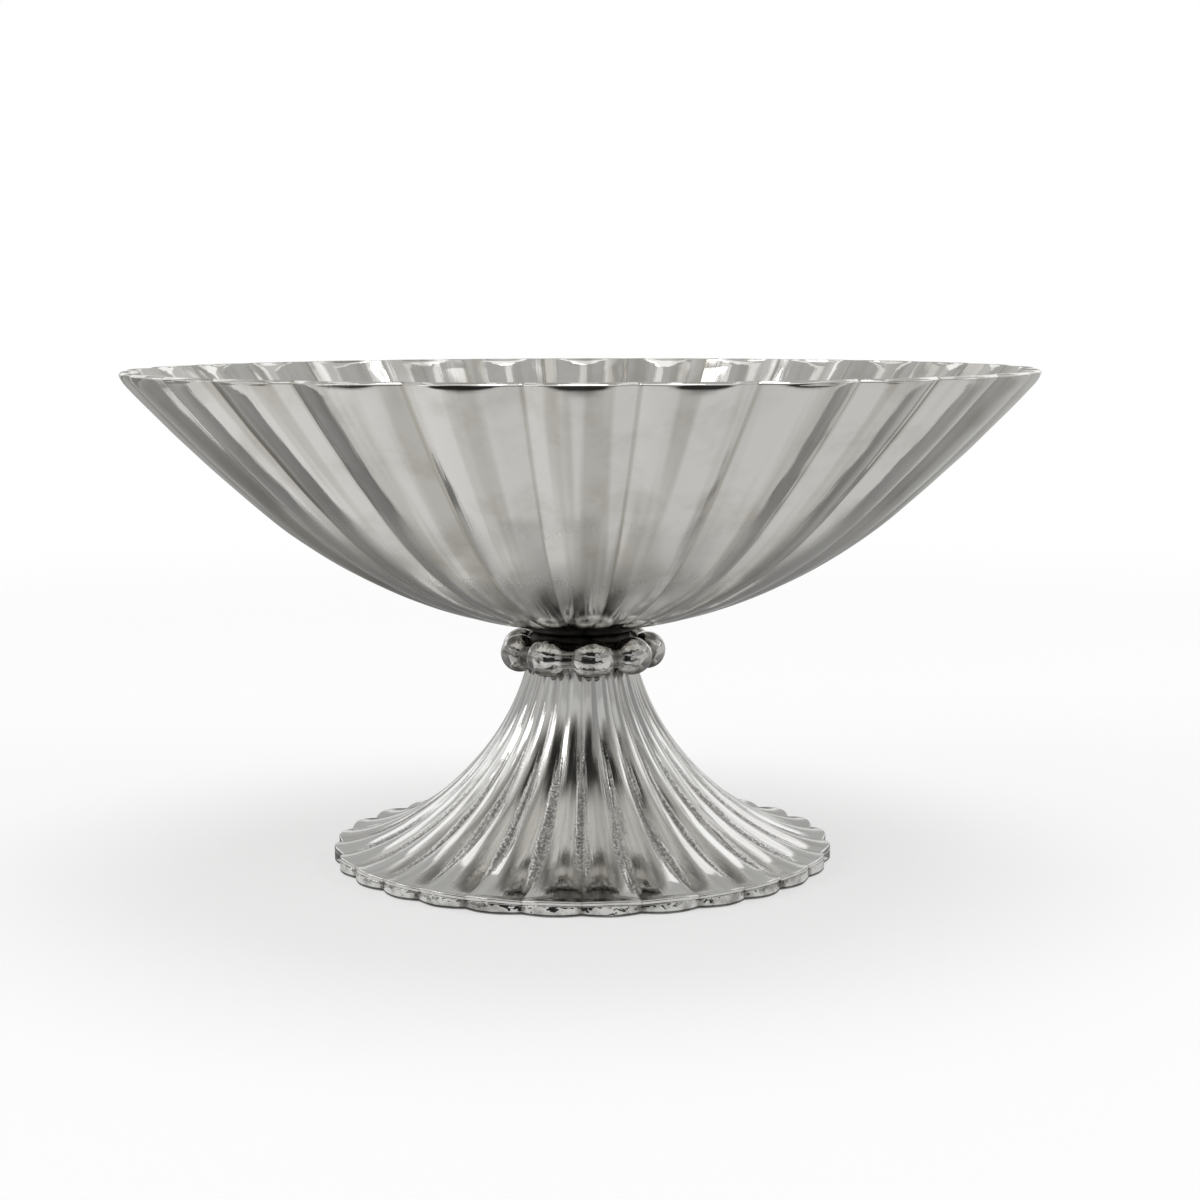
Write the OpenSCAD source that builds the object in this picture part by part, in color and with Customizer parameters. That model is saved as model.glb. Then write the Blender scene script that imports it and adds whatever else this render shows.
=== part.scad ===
// Footed compote bowl: a wide fluted bowl on a fluted trumpet foot, with a beaded collar between them.
// Lengths are millimetres and angles are degrees. The origin lies on the table at the middle of the
// foot, +Z is up, and -Y is the front, which a valley of the foot's fluting faces.

/* [Fluting] */
// Number of flutes round the bowl and round the foot
flutes = 28; // [20:2:32]
// Turn of the bowl's flutes against the foot's, as a share of one flute
bowl_turn_share = 0.5; // [0:0.05:1]

/* [Bowl] */
// Diameter over the rim
bowl_d = 240; // [216:1:270]
// Height from the flat underside to the outer edge of the rim
bowl_h = 67.8; // [58:0.1:78]
// Diameter of the flat under the bowl
bowl_base_d = 32; // [30:0.5:38]
// Thickness of the raised sheet
bowl_sheet = 1.2; // [0.8:0.1:2]
// Radius of the belly, the lower arc of the wall
belly_r = 135; // [115:1:145]
// Slope at which the belly leaves the flat underside
belly_start_angle = 8.6; // [4:0.1:12]
// Slope at which the belly passes into the upper wall
belly_end_angle = 41; // [35:0.5:44]
// Depth of a flute's valley below its crowns, as it would be at the rim
bowl_flute_depth = 4.2; // [2:0.1:5]
// How far the crowns are cut back at the rim
rim_cut = 1.6; // [0.8:0.1:2]
// Height below the rim at which the cut begins
rim_cut_h = 2.4; // [2:0.1:6]

/* [Foot] */
// Diameter over the scalloped edge
foot_d = 135; // [115:1:155]
// Height of the foot's flat top above the table
foot_h = 53.8; // [46:0.1:62]
// Thickness of the raised sheet
foot_sheet = 1.2; // [0.8:0.1:1.8]
// Depth of a flute's valley below its crowns, as it is at the edge
foot_flute_depth = 1.7; // [0.8:0.1:2.4]
// Height of the strip soldered under the edge
edge_band_h = 3; // [2:0.1:5]
// Thickness of the strip soldered under the edge
edge_band_t = 1.6; // [1:0.1:2.4]
// How far the flat land under the edge reaches past the strip
edge_land = 0.4; // [0.2:0.1:1]

/* [Beaded collar] */
// Number of beads
beads = 9; // [7:1:11]
// Diameter of a bead
bead_d = 10; // [8.6:0.1:11.4]
// Diameter of the circle through the bead centres
bead_circle_d = 35; // [32:0.1:38]
// Thickness of the ring at the waist between two beads
waist_d = 5.4; // [4:0.1:6.4]
// Turn of the first bead from -Y towards +X
bead_turn = 9; // [0:1:40]
// Open gap between the bead tops and the bowl, which shows as a dark line
shadow_gap = 2; // [1:0.1:4]
// Height from the collar's lower seat to the middle of the beads
seat_rise = 2.2; // [1.6:0.1:2.8]
// Width of the seat that carries the beads
seat_w = 1.6; // [1:0.1:2.4]
// Room between the foot's neck and the collar below the seat
neck_room = 0.9; // [0.6:0.1:1.4]
// Clearance between the collar and the turned pieces inside it
collar_gap = 0.2; // [0.1:0.05:0.4]
// Depth of the cove turned in the boss
cove_depth = 1.4; // [0.6:0.1:2]

/* [Fastening] */
// Diameter of the stud
stud_d = 6; // [5:0.5:8]
// Length of stud that shows past the nut
stud_end = 4; // [2:0.5:8]
// Chamfer on the stud's ends
stud_chamfer = 0.7; // [0.3:0.1:1]
// Clearance of the stud in its tapped holes
thread_gap = 0.1; // [0.05:0.05:0.2]
// Clearance of the stud in its plain holes
hole_gap = 0.4; // [0.2:0.1:0.6]
// Diameter of the washer
washer_d = 20; // [16:0.5:22]
// Thickness of the washer
washer_t = 1.5; // [1:0.1:2.5]
// Chamfer on the washer's lower edge
washer_chamfer = 0.5; // [0.2:0.1:0.8]
// Width of the nut across its flats
nut_af = 10; // [9:0.5:13]
// Height of the nut
nut_h = 5; // [4:0.5:7]

/* [Hidden] */

// Points along one flute, and rows up each stretch of wall
flute_steps = 6;
belly_rows = 5;
upper_rows = 3;
rim_cut_rows = 3;
foot_rows = 7;
ring_points_n = flutes * flute_steps;
// Sides of the round pieces
round_n = 96;
// How far every cut runs past the face that it opens
overrun = 1;

bowl_r = bowl_d / 2;
bowl_base_r = bowl_base_d / 2;
foot_r = foot_d / 2;
bead_r = bead_d / 2;
bead_circle_r = bead_circle_d / 2;
waist_r = waist_d / 2;
stud_r = stud_d / 2;

// The collar's bore is where the beads are as tall as the two seats are apart
collar_bore_r = bead_circle_r - sqrt(bead_r * bead_r - seat_rise * seat_rise);
neck_r = collar_bore_r + seat_w;
bush_r = collar_bore_r - collar_gap;

// Heights of the stack, from the table up
foot_edge_z = edge_band_h + foot_sheet;
collar_z = foot_h + seat_rise;
upper_seat_z = collar_z + seat_rise;
bowl_z = collar_z + bead_r + shadow_gap;
rim_z = bowl_z + bowl_h;
washer_top_z = foot_h - foot_sheet;
nut_top_z = washer_top_z - washer_t;
stud_low_z = nut_top_z - nut_h - stud_end;

// Handles of the trumpet's curve, as shares of its width and of its height
trumpet_edge_shares = [0.39, 0.052];
trumpet_neck_shares = [0.109, 0.525];

silver = "#d4d2cc";
shaded_silver = "#77746e";
brass = "#b9974f";
steel = "#8d8f92";

// Share of a flute's depth that stands at angle a from a valley: 0 in the valley and 1 on the crown
function crown_share(a) = abs(sin(flutes * a / 2));

// One ring of the fluting, with angle 0 at -Y: radius r on the crowns, less the depth in the valleys.
// The crowns can be cut back too, and the flutes turned by a share of one flute.
function fluted_ring(r, z, depth, cut = 0, turn_share = 0) = [
    for (k = [0 : ring_points_n - 1])
        let (a = 360 * k / ring_points_n,
             hollow = depth * (1 - crown_share(a + 360 * turn_share / flutes)),
             q = r - max(hollow, cut))
            [q * sin(a), -q * cos(a), z]
];

// The belly's arc at share s: radius, height and slope
function belly_row(s) =
    let (q = belly_start_angle + s * (belly_end_angle - belly_start_angle))
        [bowl_base_r + belly_r * (sin(q) - sin(belly_start_angle)),
         bowl_z + belly_r * (cos(belly_start_angle) - cos(q)), q];

// The upper wall leaves the belly in line with it and bends evenly up to the rim. The wall's rows follow
// the crowns, which would end outside the rim if they were not cut back to it.
belly_top = belly_row(1);
crown_end_r = bowl_r + rim_cut;
upper_chord = [crown_end_r - belly_top[0], rim_z - belly_top[1]];
upper_chord_angle = atan2(upper_chord[1], upper_chord[0]);
upper_handle = norm(upper_chord) / (2 * cos(upper_chord_angle - belly_end_angle));
upper_corner = [belly_top[0] + upper_handle * cos(belly_end_angle),
                belly_top[1] + upper_handle * sin(belly_end_angle)];

// The upper wall at share s: radius, height and slope
function upper_row(s) =
    let (low = [belly_top[0], belly_top[1]], high = [crown_end_r, rim_z],
         p = (1 - s) * (1 - s) * low + 2 * s * (1 - s) * upper_corner + s * s * high,
         d = (1 - s) * (upper_corner - low) + s * (high - upper_corner))
        [p[0], p[1], atan2(d[1], d[0])];

// The share at which the upper wall is as high as z
function upper_share(z) =
    let (bend = belly_top[1] - 2 * upper_corner[1] + rim_z,
         rise = 2 * (upper_corner[1] - belly_top[1]),
         up = z - belly_top[1])
        2 * up / (rise + sqrt(rise * rise + 4 * bend * up));

full_flute_share = upper_share(rim_z - rim_cut_h);

// Outer wall of the bowl from the flat underside to the rim
bowl_wall = [
    for (i = [0 : belly_rows]) belly_row(i / belly_rows),
    for (i = [1 : upper_rows]) upper_row(full_flute_share * i / upper_rows),
    for (i = [1 : rim_cut_rows]) upper_row(full_flute_share + (1 - full_flute_share) * i / rim_cut_rows)
];

// Share of the cut that is reached at a row of the bowl: 0 where the cut begins and 1 at the rim
function rim_cut_share(row) = max(0, 1 - (rim_z - row[1]) / rim_cut_h);

// Flute depth at a row of the bowl, in step with the flute's width
function bowl_depth(row) = bowl_flute_depth * row[0] / bowl_r;

// Ring of the bowl at a row of either face, fluted as the outer face is there. The cut takes only the
// crowns, so the creases run right up to the rim.
function bowl_ring(row, outer) =
    fluted_ring(row[0], row[1], bowl_depth(outer), rim_cut * rim_cut_share(outer), bowl_turn_share);

// A row of the bowl moved square to the wall through the sheet
function bowl_inside(row) =
    [row[0] - bowl_sheet * sin(row[2]), row[1] + bowl_sheet * cos(row[2]), row[2]];

// A cubic curve through p0 and p3 with handles p1 and p2, and its direction
function cubic(p0, p1, p2, p3, t) =
    pow(1 - t, 3) * p0 + 3 * t * pow(1 - t, 2) * p1 + 3 * t * t * (1 - t) * p2 + pow(t, 3) * p3;
function cubic_way(p0, p1, p2, p3, t) =
    pow(1 - t, 2) * (p1 - p0) + 2 * t * (1 - t) * (p2 - p1) + t * t * (p3 - p2);

// The trumpet's curve from the land at the foot's edge to the flat top
land_r = foot_r - edge_band_t - edge_land;
trumpet_w = land_r - neck_r;
trumpet_h = foot_h - foot_edge_z;
trumpet_start = [land_r, foot_edge_z];
trumpet_low = [land_r - trumpet_edge_shares[0] * trumpet_w, foot_edge_z + trumpet_edge_shares[1] * trumpet_h];
trumpet_high = [neck_r + trumpet_neck_shares[0] * trumpet_w, foot_h - trumpet_neck_shares[1] * trumpet_h];
trumpet_end = [neck_r, foot_h];

// The trumpet at share t: radius, height and slope
function trumpet_row(t) =
    let (p = cubic(trumpet_start, trumpet_low, trumpet_high, trumpet_end, t),
         d = cubic_way(trumpet_start, trumpet_low, trumpet_high, trumpet_end, t))
        [p[0], p[1], atan2(d[1], -d[0])];

// A row of the trumpet moved square to the wall through the sheet
function trumpet_inside(row) =
    [row[0] - foot_sheet * sin(row[2]), row[1] - foot_sheet * cos(row[2]), row[2]];

// Flute depth at a radius of the foot, in step with the flute's width
function foot_depth(r) = foot_flute_depth * r / foot_r;

// Closed solid through a list of rings, capped at both ends by a fan about the axis
module fluted_loft(rings) {
    n = ring_points_n;
    last = len(rings) - 1;
    low_z = rings[0][0][2];
    high_z = rings[last][0][2];
    points = concat([for (ring = rings) each ring], [[0, 0, low_z], [0, 0, high_z]]);
    low_cap = len(points) - 2;
    high_cap = len(points) - 1;
    faces = concat(
        [for (i = [0 : last - 1], k = [0 : n - 1])
            let (a = i * n + k, b = i * n + (k + 1) % n)
                each [[a, a + n, b], [b, a + n, b + n]]],
        [for (k = [0 : n - 1]) [low_cap, k, (k + 1) % n]],
        [for (k = [0 : n - 1]) [high_cap, last * n + (k + 1) % n, last * n + k]]
    );
    polyhedron(points = points, faces = faces, convexity = 6);
}

// Upright hole about the axis between two heights
module axis_hole(r, low_z, high_z) {
    translate([0, 0, low_z]) cylinder(r = r, h = high_z - low_z, $fn = round_n);
}

// The raised bowl: the flutes show outside and inside, and the sheet's edge is left square at the rim
module bowl_shell() {
    last = len(bowl_wall) - 1;
    rings = [
        for (row = bowl_wall) bowl_ring(row, row),
        for (i = [last : -1 : 1]) bowl_ring(bowl_inside(bowl_wall[i]), bowl_wall[i]),
        bowl_ring([bowl_base_r, bowl_z + bowl_sheet], bowl_wall[0])
    ];
    color(silver) fluted_loft(rings);
}

// Turned boss soldered to the flat under the bowl and tapped for the stud
module neck_boss() {
    boss_h = bowl_z - upper_seat_z;
    color(shaded_silver) difference() {
        translate([0, 0, upper_seat_z]) cylinder(r = neck_r, h = boss_h, $fn = round_n);
        translate([0, 0, upper_seat_z + boss_h / 2]) rotate_extrude($fn = round_n)
            translate([neck_r, 0]) circle(r = cove_depth, $fn = round_n);
        axis_hole(stud_r + thread_gap, upper_seat_z - overrun, bowl_z + overrun);
    }
}

// Stud screwed into the boss, running down through the bush and the foot
module threaded_stud() {
    color(steel) rotate_extrude($fn = round_n)
        polygon([
            [0, stud_low_z],
            [stud_r - stud_chamfer, stud_low_z],
            [stud_r, stud_low_z + stud_chamfer],
            [stud_r, bowl_z - stud_chamfer],
            [stud_r - stud_chamfer, bowl_z],
            [0, bowl_z]
        ]);
}

// Plain bush that centres the collar between the foot and the boss
module locating_bush() {
    color(brass) difference() {
        translate([0, 0, foot_h]) cylinder(r = bush_r, h = upper_seat_z - foot_h, $fn = round_n);
        axis_hole(stud_r + hole_gap, foot_h - overrun, upper_seat_z + overrun);
    }
}

// One bead: an arc turned about the ring's tangent, with its ends stopped inside the waist
module bead() {
    half_l = bead_circle_r * tan(180 / beads);
    arc_r = (half_l * half_l + bead_r * bead_r) / (2 * bead_r);
    stop_l = sqrt(arc_r * arc_r - pow(waist_r / 2 + arc_r - bead_r, 2));
    rotate([0, 90, 0]) rotate_extrude($fn = round_n) intersection() {
        translate([bead_r - arc_r, 0]) circle(r = arc_r, $fn = round_n);
        translate([0, -stop_l]) square([bead_r, 2 * stop_l]);
    }
}

// Cast collar: beads round a waist, bored for the bush and let in for the foot's neck and the boss
module bead_ring() {
    color(silver) difference() {
        translate([0, 0, collar_z]) union() {
            rotate_extrude($fn = round_n) translate([bead_circle_r, 0]) circle(r = waist_r, $fn = round_n);
            for (k = [0 : beads - 1]) rotate([0, 0, bead_turn + 360 * k / beads])
                translate([0, -bead_circle_r, 0]) bead();
        }
        axis_hole(collar_bore_r, collar_z - bead_d, collar_z + bead_d);
        axis_hole(neck_r + neck_room, collar_z - bead_d, foot_h);
        axis_hole(neck_r + collar_gap, upper_seat_z, collar_z + bead_d);
    }
}

// The raised foot: a fluted trumpet with a flat top for the stud and a flat land under its edge
module foot_shell() {
    rows = [for (i = [0 : foot_rows]) trumpet_row(i / foot_rows)];
    ceiling = [neck_r - foot_sheet, foot_h - foot_sheet];
    rings = [
        fluted_ring(ceiling[0], ceiling[1], foot_depth(neck_r)),
        for (i = [foot_rows - 1 : -1 : 1])
            let (row = trumpet_inside(rows[i])) fluted_ring(row[0], row[1], foot_depth(rows[i][0])),
        fluted_ring(land_r, edge_band_h, foot_depth(land_r)),
        fluted_ring(foot_r, edge_band_h, foot_depth(foot_r)),
        fluted_ring(foot_r, foot_edge_z, foot_depth(foot_r)),
        for (row = rows) fluted_ring(row[0], row[1], foot_depth(row[0]))
    ];
    color(silver) difference() {
        fluted_loft(rings);
        axis_hole(stud_r + hole_gap, ceiling[1] - overrun, foot_h + overrun);
    }
}

// Outline of the scalloped edge at a radius, seen from above
module scallop(r) {
    polygon([for (p = fluted_ring(r, 0, foot_depth(foot_r))) [p[0], p[1]]]);
}

// Strip bent to the scallops and soldered under the foot's edge, on which the piece stands
module foot_edge_band() {
    color(silver) linear_extrude(height = edge_band_h) difference() {
        scallop(foot_r);
        scallop(foot_r - edge_band_t);
    }
}

// Washer under the foot's flat top
module clamp_washer() {
    washer_r = washer_d / 2;
    hole_r = stud_r + hole_gap;
    color(brass) rotate_extrude($fn = round_n)
        polygon([
            [hole_r, nut_top_z],
            [washer_r - washer_chamfer, nut_top_z],
            [washer_r, nut_top_z + washer_chamfer],
            [washer_r, washer_top_z],
            [hole_r, washer_top_z]
        ]);
}

// Nut that draws the foot, the collar and the bowl together
module hex_nut() {
    color(steel) difference() {
        translate([0, 0, nut_top_z - nut_h]) cylinder(r = nut_af / (2 * cos(30)), h = nut_h, $fn = 6);
        axis_hole(stud_r + thread_gap, nut_top_z - nut_h - overrun, nut_top_z + overrun);
    }
}

bowl_shell();
neck_boss();
threaded_stud();
locating_bush();
bead_ring();
foot_shell();
foot_edge_band();
clamp_washer();
hex_nut();
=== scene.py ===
# %% [markdown]
# # A footed compote bowl in polished silver
#
# The real piece is raised by hand from sheet silver: a wide bowl with 28 flutes, a trumpet foot with as
# many, a cast collar of nine beads between them, and a strip soldered under the foot's scalloped edge.
# Polished silver has hardly a colour of its own. What we see is the room, bent by the fluting, so this
# lesson spends its care on two things: exact curved surfaces, and a quiet studio for them to mirror.
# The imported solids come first. They fix every size, and each surface below keeps to their boxes.

# %% Load the frame
import functools
import math

import bpy
import numpy as np
from mathutils import Matrix, Vector


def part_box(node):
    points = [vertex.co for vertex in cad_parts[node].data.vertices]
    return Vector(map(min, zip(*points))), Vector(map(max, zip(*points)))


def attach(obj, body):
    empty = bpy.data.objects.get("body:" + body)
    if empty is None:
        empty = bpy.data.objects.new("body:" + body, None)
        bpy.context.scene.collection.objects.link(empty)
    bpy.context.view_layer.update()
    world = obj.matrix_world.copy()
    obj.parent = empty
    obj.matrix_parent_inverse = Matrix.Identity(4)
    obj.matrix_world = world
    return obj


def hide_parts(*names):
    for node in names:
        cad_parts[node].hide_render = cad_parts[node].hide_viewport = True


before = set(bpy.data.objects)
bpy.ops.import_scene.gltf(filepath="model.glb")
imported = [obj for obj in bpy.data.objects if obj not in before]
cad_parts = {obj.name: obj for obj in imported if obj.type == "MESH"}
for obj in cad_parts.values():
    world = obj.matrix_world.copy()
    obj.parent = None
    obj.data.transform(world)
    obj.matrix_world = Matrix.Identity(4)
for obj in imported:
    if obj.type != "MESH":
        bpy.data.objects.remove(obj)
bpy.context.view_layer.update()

MM = 0.001
scene = bpy.context.scene
scene.view_settings.view_transform = "Standard"
print("nodes:", sorted(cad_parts))

# %% [markdown]
# ## The camera
#
# The photograph looks slightly down on the bowl from close by, so the rim is a thin ellipse and the foot
# a wider one. A camera was fitted to both ellipses: where it stands, how long its lens is, and how far it
# is turned. A camera looks along its own -Z axis, so the matrix has right, up and backwards as columns.

# %% Set the camera
CAMERA_PLACE = Vector((0.0, -0.600, 0.1471))
IMAGE_PIXELS = 1200
FOCAL_PIXELS = 2251
SENSOR_MM = 36.0
CAMERA_YAW = 0.0082
CAMERA_PITCH = 0.1287
CAMERA_ROLL = -0.0025
NEAREST_SEEN = 0.01
FARTHEST_SEEN = 50.0


def camera_turn(yaw, pitch, roll):
    """Rotation of a camera, from angles in radians.

    Forward follows from yaw and pitch. Right starts level with the floor, and right and up then roll
    about forward.
    """
    forward = Vector((math.sin(yaw) * math.cos(pitch), math.cos(yaw) * math.cos(pitch), -math.sin(pitch)))
    level_right = Vector((math.cos(yaw), -math.sin(yaw), 0.0))
    level_up = level_right.cross(forward)
    right = math.cos(roll) * level_right + math.sin(roll) * level_up
    up = math.cos(roll) * level_up - math.sin(roll) * level_right
    return Matrix((right, up, -forward)).transposed()


camera_data = bpy.data.cameras.new("photo_camera")
camera_data.sensor_width = SENSOR_MM
camera_data.lens = SENSOR_MM * FOCAL_PIXELS / IMAGE_PIXELS
camera_data.clip_start = NEAREST_SEEN
camera_data.clip_end = FARTHEST_SEEN
camera = bpy.data.objects.new("photo_camera", camera_data)
scene.collection.objects.link(camera)
turn = camera_turn(CAMERA_YAW, CAMERA_PITCH, CAMERA_ROLL)
camera.matrix_world = Matrix.Translation(CAMERA_PLACE) @ turn.to_4x4()
scene.camera = camera
print("lens in mm:", round(camera_data.lens, 2))

# %% [markdown]
# ## A mesh from rings
#
# Every new piece here goes round the axis, so one helper serves them all. It takes a grid of points in
# which each row is a ring seen counterclockwise from above, and joins neighbouring rows with quads. Rows
# that climb the outside give faces that point outwards. A piece ends in a pole at the axis, or its last
# row joins its first one, as on a tube. Each point also carries two vectors that the finishes read later:
# where it lies on its flute, and where it lies on the wall.

# %% Helper: ring surface


def ring_surface(name, points, marks, low_pole=None, high_pole=None, closed_rows=False):
    """Mesh object from points[row, column] = (x, y, z), with named vectors per point as attributes.

    Quad (row, column) joins its own point, the next column's, and the same two on the next row.
    A pole is one more point, given as (height, marks), that a fan of triangles joins to the end row.
    """
    rows, columns = points.shape[:2]
    own = np.arange(rows * columns).reshape(rows, columns)
    beside = np.roll(own, -1, axis=1)
    if closed_rows:
        quads = np.stack([own, beside, np.roll(beside, -1, axis=0), np.roll(own, -1, axis=0)], axis=-1)
    else:
        quads = np.stack([own[:-1], beside[:-1], beside[1:], own[1:]], axis=-1)
    faces = quads.reshape(-1, 4).tolist()
    extra = []
    if low_pole is not None:
        pole = np.full(columns, rows * columns + len(extra))
        faces += np.stack([pole, beside[0], own[0]], axis=-1).tolist()
        extra.append(low_pole)
    if high_pole is not None:
        pole = np.full(columns, rows * columns + len(extra))
        faces += np.stack([pole, own[-1], beside[-1]], axis=-1).tolist()
        extra.append(high_pole)
    places = [points.reshape(-1, 3)] + [np.array([[0.0, 0.0, height]]) for height, _ in extra]
    mesh = bpy.data.meshes.new(name)
    mesh.from_pydata(np.concatenate(places), [], faces)
    for mark, values in marks.items():
        layer = mesh.attributes.new(mark, "FLOAT_VECTOR", "POINT")
        poles = [np.array([own_marks[mark]]) for _, own_marks in extra]
        layer.data.foreach_set("vector", np.concatenate([values.reshape(-1, 3)] + poles).ravel())
    mesh.polygons.foreach_set("use_smooth", np.ones(len(faces), dtype=bool))
    mesh.update()
    piece = bpy.data.objects.new(name, mesh)
    scene.collection.objects.link(piece)
    print(name, "has", len(mesh.vertices), "points and", len(faces), "faces")
    return piece


def stand_for(piece, node):
    """The piece moves with the part and takes a solid's place."""
    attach(piece, "root")
    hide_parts(node)


# %% Helper: places and marks
LAY_RADIUS = 100.0 * MM
LAY_STRETCH = 0.04


def grid_vectors(parts, shape):
    """Three parts, each spread over the whole grid, as one array of vectors."""
    return np.stack([np.broadcast_to(part, shape) for part in parts], axis=-1)


def round_axis(radius, angle, height):
    """Points at a radius and an angle from the front (-Y) towards +X, as one array of x, y, z."""
    return grid_vectors((radius * np.sin(angle), -radius * np.cos(angle), height), radius.shape)


def surface_marks(angle, crown, length):
    """Two vectors per point: 'flute' holds crown share and wall length, and 'lay' a place for streaks.

    The lay is a point on a plain cylinder, squeezed along the wall, so a noise there comes out stretched.
    """
    shape = np.broadcast_shapes(angle.shape, length.shape)
    lay = (LAY_RADIUS * np.sin(angle), -LAY_RADIUS * np.cos(angle), LAY_STRETCH * length)
    return {"flute": grid_vectors((crown, length, 0.0), shape), "lay": grid_vectors(lay, shape)}


def pole_marks(length):
    """The same two vectors for a point on the axis."""
    return {"flute": (1.0, length, 0.0), "lay": (0.0, 0.0, LAY_STRETCH * length)}


print("streaks are stretched", round(1 / LAY_STRETCH), "times")

# %% [markdown]
# ## How a flute is drawn
#
# A flute is a rounded lobe between two tight creases. Going round the piece, the lobe's height follows
# the absolute value of a sine: it leaves each crease steeply and is round on its crown. A true absolute
# value would fold like paper, so a small number under a square root rounds the crease. The columns of the
# grid crowd together at the creases, where the surface turns fastest, and spread out on the crowns.
#
# A silversmith chases the flutes by eye. A slow wander of the creases, flutes that differ a little in
# depth and shallow hammer waves keep the reflections alive, as they do on the real piece. Each is a sum
# of a few sines, so it closes on itself after a full turn and is the same on every run.

# %% Flutes
FLUTES = 28
FLUTE_COLUMNS = 20
CREASE_CROWDING = 1.9
CREASE_ROUNDING = 0.03


def flute_phases():
    """Places round a ring counted in flutes, with a crease at every whole number.

    Even steps from -1 to 1 across a flute, raised to a power, lie closer together near the crease at 0.
    """
    steps = np.linspace(-1.0, 1.0, FLUTE_COLUMNS, endpoint=False)
    crowded = np.sign(steps) * np.abs(steps) ** CREASE_CROWDING / 2
    return (np.arange(FLUTES)[:, None] + crowded[None, :]).ravel()


def crown_share(phase):
    """0 in the crease and 1 on the crown: the sine's absolute value, with the crease rounded off."""
    sine = np.sin(np.pi * phase)
    soft = np.sqrt(sine * sine + CREASE_ROUNDING ** 2)
    return (soft - CREASE_ROUNDING) / (math.sqrt(1.0 + CREASE_ROUNDING ** 2) - CREASE_ROUNDING)


phases = flute_phases()
print("columns round a fluted piece:", phases.size)

# %% Marks of the hand
# Waves round the piece: how many in a turn, how large (the wander in degrees), and how far they are shifted
WANDER_WAVES = ((3, 0.35, 0.7), (5, 0.30, 2.1), (9, 0.25, 4.0))
DEPTH_WAVES = ((4, 0.12, 1.3), (11, 0.08, 0.4))
# Hammer waves: how many in a turn, radians per metre along the wall, and how far they are shifted
HAMMER_WAVES = ((23, 190.0, 0.3), (-37, 260.0, 1.7), (61, 140.0, 2.9), (-83, 330.0, 4.4))
HAMMER_SIZE = 0.05 * MM


def slow_waves(angle, waves, start=0.0):
    """A start value plus sines round the piece, each with its count, size and shift."""
    return sum((size * np.sin(count * angle + shift) for count, size, shift in waves), start)


def hand_wander(angle):
    """How far the creases stray round the piece, in radians: slow sines, less their value at the front."""
    return np.radians(slow_waves(angle, WANDER_WAVES) - slow_waves(0.0, WANDER_WAVES))


def hand_depth(angle):
    """How deep each flute is against the mean: slow sines round 1."""
    return slow_waves(angle, DEPTH_WAVES, 1.0)


def hammer_waves(angle, length):
    """Shallow waves that a hammer leaves: half a sum of sines that run at a slant, less its greatest value.

    So they only ever go inwards, and the piece keeps to its solid's box.
    """
    total = sum(np.sin(count * angle + pull * length + shift) for count, pull, shift in HAMMER_WAVES)
    return HAMMER_SIZE * (total - len(HAMMER_WAVES)) / 2


stray = np.degrees(hand_wander(np.linspace(0.0, 2 * np.pi, 361)))
print("creases stray in degrees:", round(stray.min(), 2), "to", round(stray.max(), 2))

# %% [markdown]
# ## The bowl
#
# The bowl is one sheet about 1.2 mm thick. Its wall leaves the flat underside as a long arc, the belly,
# and bends on evenly to the rim, at about 48 degrees. The flutes deepen as they widen. Just below the
# edge the smith works them to a round rim: the crowns are rolled in, in small wedge-shaped facets, and
# only the creases run right up to it. The sheet's edge is left square with its corners eased, and shows
# as a bright line.
#
# A lofted surface could be made with modifiers too, but as a formula it is exact: a row gives radius and
# height on the crowns, and each column takes the flute's hollow off that radius.

# %% Bowl sizes
bowl_low, bowl_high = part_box("bowl_shell")
BOWL_R = bowl_high.x
BOWL_Z = bowl_low.z
BOWL_H = 67.8 * MM
RIM_Z = BOWL_Z + BOWL_H
BOWL_SHEET = 1.2 * MM
BOWL_BASE_R = 16.0 * MM
BELLY_R = 135.0 * MM
BELLY_START = math.radians(8.6)
BELLY_END = math.radians(41.0)
BOWL_DEPTH = 4.2 * MM
RIM_CUT = 1.2 * MM
RIM_CUT_H = 2.8 * MM
print("bowl across and up in mm:", round(2 * BOWL_R / MM, 1), round(BOWL_H / MM, 1))

# %% Bowl wall


def belly_rows(shares):
    """Radius, height and slope along the belly's arc: the slope grows evenly from its start to its end."""
    slope = BELLY_START + shares * (BELLY_END - BELLY_START)
    radius = BOWL_BASE_R + BELLY_R * (np.sin(slope) - math.sin(BELLY_START))
    height = BOWL_Z + BELLY_R * (math.cos(BELLY_START) - np.cos(slope))
    return np.stack([radius, height, slope], axis=-1)


BELLY_TOP = belly_rows(np.array([1.0]))[0, :2]
CROWN_END = np.array([BOWL_R + RIM_CUT, RIM_Z])
upper_chord = CROWN_END - BELLY_TOP
upper_bend = math.atan2(upper_chord[1], upper_chord[0]) - BELLY_END
upper_handle = np.linalg.norm(upper_chord) / (2 * math.cos(upper_bend))
UPPER_CORNER = BELLY_TOP + upper_handle * np.array([math.cos(BELLY_END), math.sin(BELLY_END)])


def upper_rows(shares):
    """Radius, height and slope along the upper wall: a quadratic curve in line with the belly."""
    along = shares[:, None]
    back = 1 - along
    place = back ** 2 * BELLY_TOP + 2 * along * back * UPPER_CORNER + along ** 2 * CROWN_END
    way = back * (UPPER_CORNER - BELLY_TOP) + along * (CROWN_END - UPPER_CORNER)
    return np.column_stack([place, np.arctan2(way[:, 1], way[:, 0])])


print("belly ends at radius and height in mm:", np.round(BELLY_TOP / MM, 1).tolist())

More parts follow.
